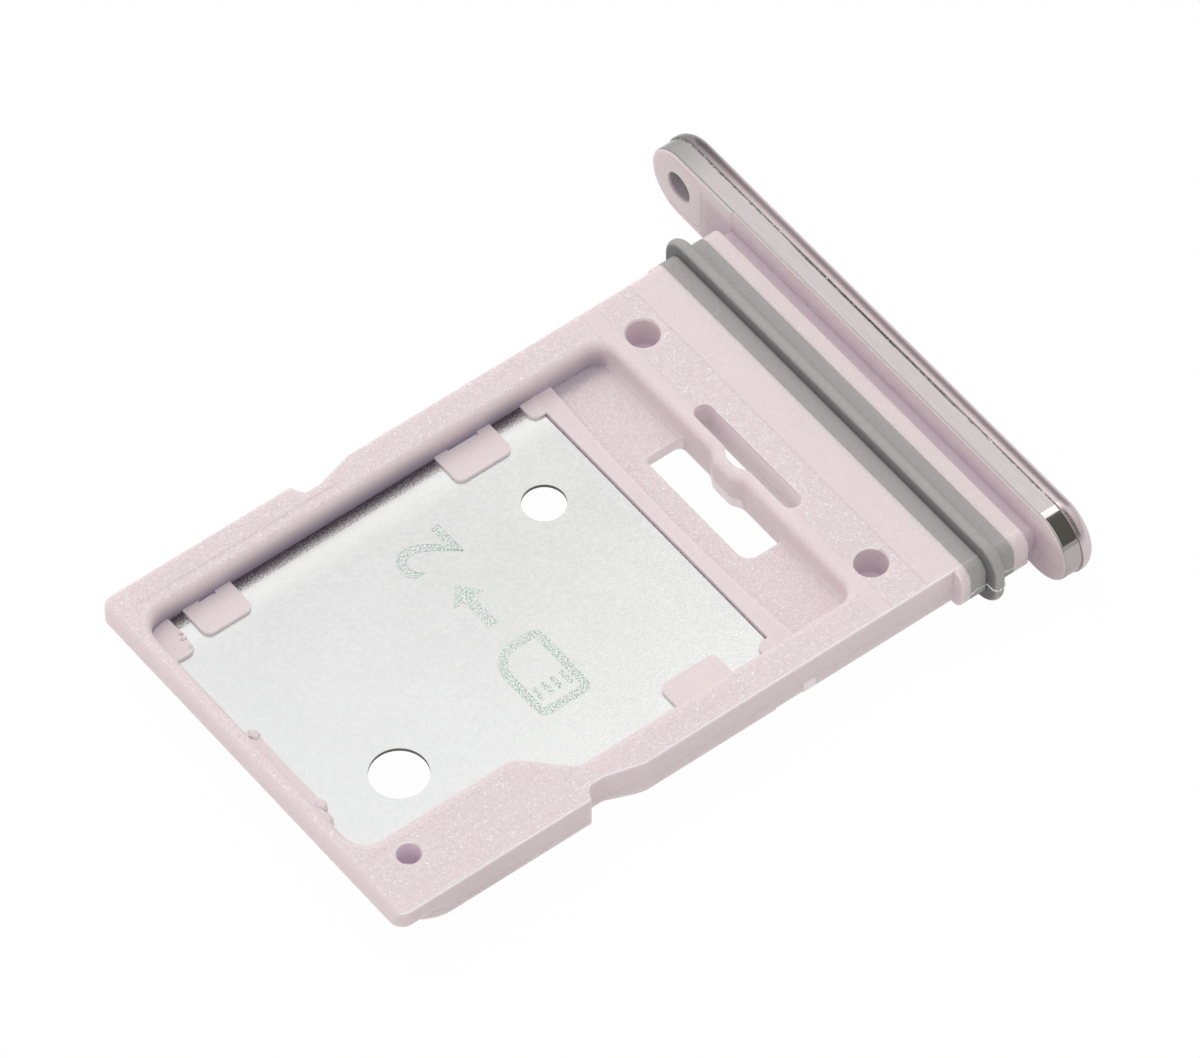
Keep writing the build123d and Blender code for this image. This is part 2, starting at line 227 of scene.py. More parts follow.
class Sheet(Board):
    """Lays out one material's nodes, with lengths in millimetres."""

    def __init__(self, name: str) -> None:
        """Starts a material with a plain shader.

        Args:
            name: the material's name.
        """
        self.material = bpy.data.materials.new(name)
        self.material.use_nodes = True
        super().__init__(self.material.node_tree)
        self.shader = self.add("ShaderNodeBsdfPrincipled")
        self.surface = self.add("ShaderNodeOutputMaterial").inputs["Surface"]
        self.join(self.shader.outputs["BSDF"], self.surface)
        scaled = self.add("ShaderNodeVectorMath")
        scaled.operation = "SCALE"
        self.fill(scaled, Vector=self.add("ShaderNodeTexCoord").outputs["Object"], Scale=1 / MM)
        self.place = scaled.outputs["Vector"]
        self.x, self.y, self.z = self.add("ShaderNodeSeparateXYZ", Vector=self.place).outputs
        normal = self.add("ShaderNodeNewGeometry").outputs["Normal"]
        self.facing_y, self.facing_z = self.add("ShaderNodeSeparateXYZ", Vector=normal).outputs[1:]

    def away(self, middle: Span, half: Span = (0.0, 0.0)) -> Socket:
        """Measures how far a place lies, across and up, from a rectangle.

        Args:
            middle: the rectangle's middle.
            half: its half sizes.

        Returns:
            The distance's socket, in millimetres.
        """
        squares = []
        for value, centre, reach in zip((self.y, self.z), middle, half):
            off = self.sum("ABSOLUTE", self.sum("SUBTRACT", value, centre))
            out = self.either(self.sum("SUBTRACT", off, reach), 0.0)
            squares.append(self.times(out, out))
        return self.sum("SQRT", self.plus(*squares))

    def noise(
        self, per_mm: float, detail: float = 2.0, rough: float = 0.5, stretch: Point = (1, 1, 1),
    ) -> Socket:
        """Adds a noise pattern.

        Args:
            per_mm: the pattern's waves in a millimetre.
            detail: the number of finer layers.
            rough: how strong the finer layers are.
            stretch: the pattern's scale along each axis.

        Returns:
            The noise's value, about 0.5 on average.
        """
        place = self.add("ShaderNodeMapping", Vector=self.place, Scale=stretch).outputs["Vector"]
        node = self.add("ShaderNodeTexNoise", Vector=place, Scale=per_mm, Detail=detail, Roughness=rough)
        return node.outputs["Fac"]

    def crevice(self, reach_mm: float, low: float, high: float) -> Socket:
        """Finds hollows and inside corners.

        Args:
            reach_mm: how far off a wall still counts.
            low: the openness at which a place counts as fully hollow.
            high: the openness at which it no longer counts.

        Returns:
            1 in a crevice and 0 in the open.
        """
        node = self.add("ShaderNodeAmbientOcclusion", Distance=reach_mm * MM)
        node.samples = 8
        return self.ramp(node.outputs["AO"], low, high, 1.0, 0.0)

    def blend(self, share: Value, first: Paint, second: Paint) -> Socket:
        """Mixes two colours.

        Args:
            share: the second colour's share.
            first: the first colour.
            second: the second colour.

        Returns:
            The mixed colour's socket.
        """
        node = self.add("ShaderNodeMix")
        node.data_type = "RGBA"
        self.feed(share, node.inputs[0])
        for colour, target in ((first, node.inputs[6]), (second, node.inputs[7])):
            self.feed(colour if isinstance(colour, Socket) else (*colour, 1.0), target)
        return node.outputs[2]

    def paint(self, colour: Paint, *layers: tuple[Value, float, Colour]) -> Socket:
        """Lays tones over a colour.

        Args:
            colour: the colour.
            layers: for each tone its mask, its strength and the tone.

        Returns:
            The painted colour's socket.
        """
        for mask, strength, tone in layers:
            colour = self.blend(self.times(mask, strength), colour, tone)
        return colour

    def relief(self, height: Socket, depth_mm: float, under: Union[Socket, None] = None) -> Socket:
        """Turns a height pattern into a bumped normal.

        Args:
            height: the pattern, 0 to 1.
            depth_mm: the pattern's full depth.
            under: a normal that this one goes on top of.

        Returns:
            The normal's socket.
        """
        node = self.add("ShaderNodeBump", Distance=depth_mm * MM, Height=height)
        if under is not None:
            self.join(under, node.inputs["Normal"])
        return node.outputs["Normal"]

    def set(self, **values: Value) -> None:
        """Feeds the shader's own inputs."""
        self.fill(self.shader, **values)


@dataclass(frozen=True)
class Wash:
    """A tone that comes in gradually across the tray, by places and shares along Y."""

    tone: Colour
    places: Span
    shares: Span

    def over(self, sheet: Sheet, colour: Paint) -> Socket:
        """Lays the tone over a colour."""
        return sheet.blend(sheet.ramp(sheet.y, *self.places, *self.shares), colour, self.tone)


@dataclass(frozen=True)
class FrameMasks:
    """Finds the frame's parts by their places. Each mask is 1 on its part and 0 elsewhere."""

    sheet: Sheet
    smooth_share: float = 0.3
    step_depth: float = 0.035
    land_step: float = 0.25
    far_rim_step: float = 5.03
    far_step_run: Span = (-10.8, -3.6)
    near_rim_step: float = -5.66
    near_step_run: Span = (-11.1, -6.2)
    groove_run: Span = (PLAN.neck_end + 0.03, PLAN.flange_start + 0.03)
    pad_height: Span = (PLAN.plate_top - 0.01, PLAN.pad_top + 0.015)
    pad_run: Span = (PLAN.tip + 0.66, 2.62)
    pad_reach: Span = (-6.5, 4.45)
    slot_run: Span = (5.29, 5.92)
    slot_reach: Span = (-3.35, 1.13)
    ledge_gap: Span = (2.4, 2.8)
    window_run: Span = (2.8, 4.96)
    window_reach: Span = (-4.0, 2.0)
    recess_end: float = 5.05
    pin: Span = (PLAN.cap_half_run, PLAN.cap_middle)
    pin_radius: float = 0.52
    pin_insert: Span = (0.58, 0.55)
    insert_line: Span = (0.42, 0.46)
    flange_face: Span = (PLAN.flange_start - 0.06, PLAN.flange_start + 0.02)

    def grained(self) -> Socket:
        """Finds where the mould leaves its grain: the rims, the land's strip and the recess floor.

        Returns:
            The mask, which keeps a small share elsewhere.
        """
        s = self.sheet
        top = s.sum("GREATER_THAN", s.z, PLAN.top - 0.02)
        strip = s.within(s.x, (PLAN.grain_start, PLAN.grain_end), 0.04)
        rims = s.either(s.before(s.x, PLAN.pocket_end, 0.03), strip)
        floor = s.within(s.z, (PLAN.recess_floor - 0.05, PLAN.recess_floor + 0.03))
        return s.ramp(s.either(s.times(top, rims), floor), 0.0, 1.0, self.smooth_share, 1.0)

    def steps(self) -> Socket:
        """Bumps the soft step lines that the mould's inserts leave on the top.

        Returns:
            The bumped normal.
        """
        s = self.sheet
        first = s.past(s.x, PLAN.grain_start, 0.07)
        second = s.past(s.x, PLAN.grain_end, 0.07)
        land = s.times(s.sum("SUBTRACT", first, second), self.land_step)
        far = s.times(s.past(s.y, self.far_rim_step, 0.05), s.within(s.x, self.far_step_run, 0.3), 0.9)
        near = s.times(s.past(s.y, self.near_rim_step, 0.05), s.within(s.x, self.near_step_run, 0.2), 0.4)
        return s.relief(s.plus(land, far, near), self.step_depth)

    def far_wall(self) -> Socket:
        """Finds the pocket's far wall and the recess floor's far corner, which the rim shades.

        Returns:
            The mask, strongest at the wall's foot and weaker towards the recess.
        """
        s = self.sheet
        turned = s.before(s.facing_y, -0.55, 0.25)
        low = s.ramp(s.z, PLAN.plate_top + 0.05, PLAN.top - 0.1, 1.0, 0.0)
        weaker = s.ramp(s.x, 1.5, 3.5, 1.0, 0.66)
        wall = s.times(turned, low, weaker, s.past(s.y, 3.8, 0.2))
        floor = s.before(s.z, PLAN.recess_floor + 0.02)
        corner = s.times(s.ramp(s.y, 3.95, 4.4, 0.0, 0.5), s.past(s.x, 3.05, 0.15))
        return s.times(s.either(wall, s.times(floor, corner)), s.before(s.x, self.recess_end, 0.05))

    def groove(self) -> Socket:
        """Finds the shaded foot of the groove between the neck and the flange."""
        s = self.sheet
        foot = s.within(s.x, self.groove_run, 0.02)
        return s.times(foot, s.before(s.z, PLAN.top, 0.25), s.before(s.y, 6.9, 0.3))

    def pads(self) -> Socket:
        """Finds the thin pads and tabs that lie on the plate."""
        s = self.sheet
        return s.times(
            s.within(s.z, self.pad_height, 0.004), s.within(s.x, self.pad_run), s.within(s.y, self.pad_reach),
            s.either(s.past(s.x, -4.275, 0.025), s.past(s.y, -5.175, 0.025)),
        )

    def openings(self) -> Socket:
        """Finds the walls of the slot and the window, which the pale floor lights from below.

        Returns:
            The mask.
        """
        s = self.sheet
        fading = s.times(s.ramp(s.y, -0.6, 1.1, 1.0, 0.3), s.before(s.z, PLAN.top - 0.1, 0.05))
        slot = s.times(s.within(s.x, self.slot_run), s.within(s.y, self.slot_reach), fading)
        window = s.times(s.within(s.x, self.window_run), s.within(s.y, self.window_reach))
        window = s.either(window, s.within(s.x, self.ledge_gap))
        return s.either(slot, s.times(window, s.before(s.z, PLAN.recess_floor - 0.015, 0.005)))

    def near_edge(self) -> Socket:
        """Finds the near rim's rounded outer edge, which catches the light."""
        s = self.sheet
        return s.times(
            s.before(s.facing_y, -0.35, 0.15), s.within(s.facing_z, (0.58, 0.93), 0.05),
            s.before(s.y, -5.35, 0.05), s.before(s.x, 7.6, 0.1),
        )

    def pin_bore(self) -> Socket:
        """Finds the inside of the ejector pin's hole."""
        s = self.sheet
        inside = s.before(s.away(self.pin), self.pin_radius, 0.02)
        return s.times(inside, s.past(s.x, PLAN.flange_start + 0.05, 0.05))

    def pin_ring(self) -> Socket:
        """Finds the faint line that an insert leaves round the ejector pin's hole."""
        s = self.sheet
        ring = s.within(s.away(self.pin, self.pin_insert), self.insert_line, 0.025)
        return s.times(ring, s.within(s.x, self.flange_face), s.before(s.y, 8.45, 0.15))

    def collar_line(self) -> Socket:
        """Finds the fine line that the mould leaves along the neck's corner."""
        s = self.sheet
        line = s.within(s.y, PLAN.neck_corner, FINE)
        return s.times(line, s.past(s.x, PLAN.seal_start - 0.245, 0.05), s.past(s.z, 1.65, 0.05))


@dataclass(frozen=True)
class FlangeCoat:
    """The metal coat on the flange's side, greyer towards its ends."""

    body: Colour = srgb(204, 194, 196)
    light: Colour = srgb(209, 200, 201)
    edge: Colour = srgb(142, 154, 149)
    edge_run: Span = (PLAN.flange_start, PLAN.flange_start + 0.05)
    washes: tuple[Wash, ...] = (
        Wash(srgb(158, 157, 155), (6.3, 8.9), (0.0, 0.9)),
        Wash(srgb(122, 122, 120), (8.3, 9.0), (0.0, 0.7)),
        Wash(srgb(168, 160, 162), (-9.0, -8.75), (0.75, 0.0)),
    )

    def mask(self, sheet: Sheet) -> Socket:
        """Finds the flange's side by its distance from the cap's middle line.

        Args:
            sheet: the material's nodes.

        Returns:
            1 on the flange's side and 0 elsewhere.
        """
        outward = sheet.away((0.0, PLAN.cap_middle), (PLAN.cap_half_run, 0.0))
        outer = sheet.past(outward, PLAN.cap_half_height - 0.0225, 0.0075)
        return sheet.times(outer, sheet.past(sheet.x, PLAN.flange_start - 0.03))

    def colour(self, sheet: Sheet) -> Socket:
        """Mixes the coat's colours.

        Args:
            sheet: the material's nodes.

        Returns:
            The coat's colour.
        """
        streak = sheet.ramp(sheet.noise(5.0, 3.0, 0.6, (3.0, 0.35, 1.0)), 0.35, 0.68)
        coat = sheet.blend(streak, self.body, self.light)
        for wash in self.washes:
            coat = wash.over(sheet, coat)
        edge = sheet.times(sheet.within(sheet.x, self.edge_run, 0.015), 0.75)
        return sheet.blend(edge, coat, self.edge)


@dataclass(frozen=True)
class MouldedPlastic:
    """The frame's pale pink plastic, grained on its rims, with a metal coat on the flange's side."""

    name: str = "moulded_pink_plastic"
    pale: Colour = srgb(222, 207, 208)
    paler: Colour = srgb(228, 213, 213)
    valley: Colour = srgb(216, 200, 201)
    speck: Colour = srgb(252, 247, 247)
    # painted light: a pale mauve tone for hollows and inside corners, in place of the light that reaches into
    # them
    hollow: Colour = srgb(244, 233, 243)
    shade: Colour = srgb(146, 131, 156)
    edge: Colour = (1.0, 0.93, 0.925)
    bore_shade: Colour = srgb(170, 163, 169)
    insert: Colour = srgb(190, 170, 174)
    groove: Colour = srgb(186, 162, 174)
    pad_side_light: Colour = (1.0, 0.93, 0.94)
    lit: Colour = srgb(253, 242, 242)
    grain_per_mm: float = 15.0
    fine_per_mm: float = 24.0
    grain_depth: float = 0.05
    coat: FlangeCoat = FlangeCoat()
    bare_roughness: float = 0.45
    coat_roughness: float = 0.1
    glow_share: float = 0.6
    glow_reach: float = 0.3
    glow_radius: Colour = (1.0, 0.75, 0.95)

    def make(self) -> Material:
        """Makes the material, tone over tone.

        Returns:
            The material.
        """
        sheet = Sheet(self.name)
        masks = FrameMasks(sheet)
        grained = masks.grained()
        grain = sheet.noise(self.grain_per_mm, 2.0, 0.6)
        fine = sheet.noise(self.fine_per_mm, 2.0, 0.6)
        peak = sheet.times(sheet.ramp(grain, 0.5, 0.64), sheet.ramp(fine, 0.48, 0.62))
        specks = sheet.plus(sheet.times(peak, 0.88), 0.12)
        pads = masks.pads()
        upright = sheet.before(sheet.facing_z, 0.55, 0.25)
        colour = sheet.paint(
            sheet.blend(sheet.noise(0.5, 3.0), self.pale, self.paler),
            (sheet.times(sheet.ramp(grain, 0.36, 0.5, 0.6, 0.0), grained), 1.0, self.valley),
            (sheet.times(specks, grained), 1.0, self.speck),
            # painted light: hollows and inside corners take a pale mauve tone
            (sheet.crevice(0.9, 0.12, 0.8), 0.9, self.hollow),
            (masks.far_wall(), 0.85, self.shade),
            # painted highlight: the near rim's rounded outer edge is near white
            (masks.near_edge(), 1.0, self.edge),
            # painted shade: the inside of the ejector pin's hole is greyed
            (masks.pin_bore(), 0.85, self.bore_shade),
            (masks.pin_ring(), 0.6, self.insert),
            (masks.collar_line(), 0.5, self.speck),
            (masks.groove(), 0.48, self.groove),
            # painted light: the upright sides of the pads and tabs are paler, in place of light that the
            # plate throws on them
            (sheet.times(pads, upright), 0.85, self.pad_side_light),
            (sheet.times(masks.openings(), upright), 0.85, self.lit),
        )
        coated = self.coat.mask(sheet)
        relief = sheet.times(grain, grained, sheet.but(coated))
        sheet.set(
            Base_Color=sheet.blend(coated, colour, self.coat.colour(sheet)),
            Metallic=coated,
            Roughness=sheet.ramp(coated, 0.0, 1.0, self.bare_roughness, self.coat_roughness),
            Normal=sheet.relief(relief, self.grain_depth, masks.steps()),
            Subsurface_Weight=sheet.ramp(pads, 0.0, 1.0, self.glow_share, 0.0),
            Subsurface_Radius=self.glow_radius,
            Subsurface_Scale=self.glow_reach * MM,
            IOR=1.46,
        )
        return sheet.material


@dataclass(frozen=True)
class SatinStainless:
    """The plate's bright satin sheet, with a dark grainy band of painted shade and reflection along the far
    wall's foot.
    """

    name: str = "satin_stainless"
    base: Colour = srgb(214, 215, 214)
    bright: Colour = srgb(226, 227, 226)
    corner: Colour = srgb(233, 234, 234)
    edge: Colour = srgb(112, 112, 110)
    dark: Colour = srgb(122, 117, 120)
    gap_shade: Colour = srgb(96, 97, 97)
    glint: Colour = (1.0, 1.0, 1.0)
    # painted light: the sheet is lighter towards the far wall, making up for the wall's dark reflection
    far: Wash = Wash(srgb(246, 246, 245), (3.0, 4.1), (0.0, 0.55))
    band_start: float = 4.13
    band_end: float = 4.55
    band_run: Span = (-10.1, 2.4)
    tabs: tuple[Span, ...] = ((-9.46, -7.87), (-0.86, 1.03))
    slits: tuple[Span, ...] = ((-8.95, -8.38), (-0.44, 0.61))
    slit_reach: Span = (4.38, 4.6)
    relief: float = 0.005

    def band(self, sheet: Sheet) -> Socket:
        """Finds the dark band along the far wall's foot, a painted shade and reflection of the wall.

        Args:
            sheet: the material's nodes.

        Returns:
            The band's darkness, grainy, strongest at the wall and broken by the tabs.
        """
        across = sheet.ramp(sheet.y, self.band_start, self.band_end, 0.2, 0.95)
        abrupt = sheet.past(sheet.y, self.band_start + 0.005, 0.025)
        grain = sheet.ramp(sheet.noise(20.0, 2.0, 0.7), 0.35, 0.65, -0.35, 0.35)
        strength = sheet.sum("ADD", across, grain, clamp=True)
        beside = [sheet.but(sheet.within(sheet.x, tab)) for tab in self.tabs]
        return sheet.times(strength, abrupt, sheet.within(sheet.x, self.band_run, 0.1), *beside)

    def make(self) -> Material:
        """Makes the material.

        Returns:
            The material.
        """
        sheet = Sheet(self.name)
        cloud = sheet.noise(0.35, 4.0, 0.6)
        mottle = sheet.ramp(sheet.noise(7.0, 3.0, 0.7), 0.3, 0.7, -0.3, 0.3)
        colour = sheet.blend(sheet.sum("ADD", cloud, mottle, clamp=True), self.base, self.bright)
        # painted reflection: the sheet is lighter towards the tip's near corner and towards the far wall
        corner = sheet.ramp(sheet.plus(sheet.x, sheet.y), -14.0, 2.0, 0.6, 0.0)
        colour = self.far.over(sheet, sheet.blend(corner, colour, self.corner))
        # painted shade: a dark line in the tight gaps beside the ledge and the tabs
        tight_shade = sheet.times(sheet.crevice(0.08, 0.45, 0.8), sheet.ramp(sheet.x, 2.2, 2.4, 0.3, 0.85))
        slits = sheet.either(*(sheet.within(sheet.x, slit) for slit in self.slits))
        glint = sheet.times(sheet.within(sheet.y, self.slit_reach), slits)
        side = sheet.before(sheet.z, PLAN.plate_top - 0.01, 0.005)
        colour = sheet.paint(
            # painted shade and reflection: the dark band along the far wall's foot
            colour, (tight_shade, 1.0, self.gap_shade), (self.band(sheet), 1.0, self.dark),
            (glint, 1.0, self.glint), (side, 1.0, self.edge),
        )
        sheet.set(
            Base_Color=colour,
            Metallic=sheet.but(glint),
            Roughness=sheet.ramp(sheet.noise(1.2, 3.0), 0.3, 0.7, 0.15, 0.19),
            Normal=sheet.relief(sheet.noise(22.0, 2.0, 0.6), self.relief),
        )
        return sheet.material


@dataclass(frozen=True)
class SealRubber:
    """The seal's matte grey rubber, darker at the rib's feet and in its crevices, which is painted shade."""

    name: str = "grey_seal_rubber"
    low: Colour = srgb(156, 152, 152)
    high: Colour = srgb(172, 167, 167)
    bloom: Colour = srgb(190, 187, 186)
    foot: Colour = srgb(58, 56, 62)
    line: Colour = srgb(205, 202, 200)
    rib_foot: Span = (PLAN.seal_start + 0.515, PLAN.seal_start + 0.585)
    relief: float = 0.008

    def make(self) -> Material:
        """Makes the material.

        Returns:
            The material.
        """
        sheet = Sheet(self.name)
        line = sheet.within(sheet.y, PLAN.neck_corner, FINE)
        colour = sheet.paint(
            sheet.blend(sheet.noise(8.0, 3.0), self.low, self.high),
            (sheet.ramp(sheet.noise(16.0, 2.0, 0.6), 0.58, 0.72), 0.35, self.bloom),
            # painted shade: darker in the crevices and along the rib's foot
            (sheet.crevice(0.2, 0.35, 0.75), 0.5, self.foot),
            (sheet.within(sheet.x, self.rib_foot, 0.03), 0.6, self.foot),
            (sheet.times(line, sheet.within(sheet.z, (1.7, 1.93), 0.02)), 0.45, self.line),
        )
        sheet.set(
            Base_Color=colour,
            Roughness=0.6,
            Normal=sheet.relief(sheet.noise(14.0, 2.0), self.relief),
            Specular_IOR_Level=0.4,
        )
        return sheet.material


@dataclass(frozen=True)
class CoverMetal:
    """The cap cover's glossy pale pink metal, darker and pitted towards the far end."""

    name: str = "glossy_pink_metal"
    deep: Colour = srgb(200, 184, 189)
    light: Colour = srgb(213, 199, 202)
    pits: Colour = srgb(84, 80, 82)
    pit_share: float = 0.6
    far: Wash = Wash(srgb(104, 99, 101), (5.0, 9.0), (0.0, 0.8))
    relief: float = 0.002

    def make(self) -> Material:
        """Makes the material.

        Returns:
            The material.
        """
        sheet = Sheet(self.name)
        colour = self.far.over(sheet, sheet.blend(sheet.noise(2.0, 3.0), self.deep, self.light))
        pit = sheet.ramp(sheet.noise(2.6, 2.0, 0.4), 0.68, 0.72)
        pit = sheet.times(pit, sheet.past(sheet.y, 7.8, 0.8), self.pit_share)
        sheet.set(
            Base_Color=sheet.blend(pit, colour, self.pits),
            Metallic=1.0,
            Roughness=sheet.ramp(sheet.noise(6.0, 3.0), 0.3, 0.7, 0.2, 0.25),
            Normal=sheet.relief(sheet.noise(20.0, 2.0), self.relief),
        )
        return sheet.material


Finish = Union[MouldedPlastic, SatinStainless, SealRubber, CoverMetal]


@dataclass(frozen=True)
class EtchedSteel:
    """Laser-etched steel, matte and speckled."""

    name: str
    low: Colour
    high: Colour

    def make(self) -> Material:
        """Makes the material.

        Returns:
            The material.
        """
        sheet = Sheet(self.name)
        speckle = sheet.ramp(sheet.noise(20.0, 3.0, 0.8), 0.42, 0.55)
        sheet.set(
            Base_Color=sheet.blend(speckle, self.low, self.high),
            Metallic=0.35,
            Roughness=0.5,
            Normal=sheet.relief(sheet.noise(16.0, 2.0, 0.7), 0.03),
        )
        return sheet.material


@dataclass(frozen=True)
class RaggedSkin:
    """A thin ragged skin, such as dried glue or moulding flash, with pale specks."""

    name: str
    body: Colour
    speck: Colour
    share: float
    gloss: float = 0.35

    def make(self) -> Material:
        """Makes the material.

        Returns:
            The material.
        """
        sheet = Sheet(self.name)
        speckle = sheet.ramp(sheet.noise(4.0, 3.0, 0.8), self.share, self.share + 0.05)
        shade = sheet.ramp(sheet.noise(11.0, 2.0), 0.3, 0.7, 0.0, 0.3)
        body = sheet.blend(shade, self.body, self.speck)
        sheet.set(
            Base_Color=sheet.blend(speckle, body, self.speck),
            Roughness=self.gloss,
            Normal=sheet.relief(sheet.noise(20.0, 2.0), 0.01),
        )
        return sheet.material


class Bench:
    """Shapes one piece with the edit-mode tools, in millimetres."""

    def __init__(self, name: str) -> None:
        """Takes the object that was just added, and applies its place.

        Args:
            name: the piece's name.
        """
        self.piece = bpy.context.object
        self.piece.name = name
        self.piece.data.name = name
        self.settle()

    @staticmethod
    def clear() -> None:
        """Deselects every object before a new one is added."""
        bpy.ops.object.select_all(action="DESELECT")

    def hold(self) -> None:
        """Selects this piece alone."""
        self.clear()
        self.piece.select_set(True)
        bpy.context.view_layer.objects.active = self.piece

    def open(self, kind: str = "VERT") -> None:
        """Opens the piece for editing by vertex, edge or face, with all of it selected."""
        self.hold()
        bpy.ops.object.mode_set(mode="EDIT")
        bpy.ops.mesh.select_mode(type=kind)
        self.take_all()

    @staticmethod
    def take_all() -> None:
        """Selects the whole open mesh."""
        bpy.ops.mesh.select_all(action="SELECT")

    def close(self) -> None:
        """Ends the editing."""
        bpy.ops.object.mode_set(mode="OBJECT")

    def pick(self, test: Callable[[Vector], bool], kind: str = "VERT") -> None:
        """Selects the vertices, or the edges by their middles, that pass a test of their place.

        Args:
            test: says whether a place in millimetres is wanted.
            kind: VERT or EDGE.
        """
        bpy.ops.mesh.select_mode(type=kind)
        bpy.ops.mesh.select_all(action="DESELECT")
        mesh = bmesh.from_edit_mesh(self.piece.data)
        place = self.piece.matrix_world
        if kind == "VERT":
            spots = [(vert, vert.co) for vert in mesh.verts]
        else:
            spots = [(edge, (edge.verts[0].co + edge.verts[1].co) / 2) for edge in mesh.edges]
        for part, middle in spots:
            part.select_set(test(place @ middle / MM))
        mesh.select_flush_mode()
        bmesh.update_edit_mesh(self.piece.data)

    def modify(self, kind: str, **values: object) -> None:
        """Adds a modifier, sets it and applies it.

        Args:
            kind: the modifier's type.
            values: its settings.
        """
        self.hold()
        modifier = self.piece.modifiers.new(kind.lower(), kind)
        for name, value in values.items():
            setattr(modifier, name, value)
        bpy.ops.object.modifier_apply(modifier=modifier.name)

    def roughen(self, grain_mm: float, height_mm: float, direction: str = "NORMAL") -> None:
        """Makes the piece ragged with a fine cloud pattern.

        Args:
            grain_mm: the pattern's size.
            height_mm: how far it moves the surface in all.
            direction: the way that it moves it.
        """
        clouds = bpy.data.textures.new(self.piece.name + "_clouds", "CLOUDS")
        clouds.noise_scale = grain_mm * MM
        clouds.noise_depth = 2
        self.modify("DISPLACE", texture=clouds, strength=height_mm * MM, mid_level=0.5,
                    texture_coords="LOCAL", direction=direction)

    def settle(self) -> None:
        """Applies the piece's place, so that its object sits at the origin."""
        self.hold()
        bpy.ops.object.transform_apply(location=True, rotation=True, scale=True)

    def finish(self, slot: Slot, material: Material, smooth: bool = True) -> None:
        """Dresses the piece, and makes it ride on the tray.

        Args:
            slot: the record's material slot; it is not used.
            material: the piece's finish.
            smooth: whether its faces are shaded smooth.
        """
        self.settle()
        self.piece.data.materials.append(material)
        if smooth:
            bpy.ops.object.shade_smooth_by_angle(angle=math.radians(40))
        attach(self.piece, "root")
        log.info("made %s with %d faces", self.piece.name, len(self.piece.data.polygons))


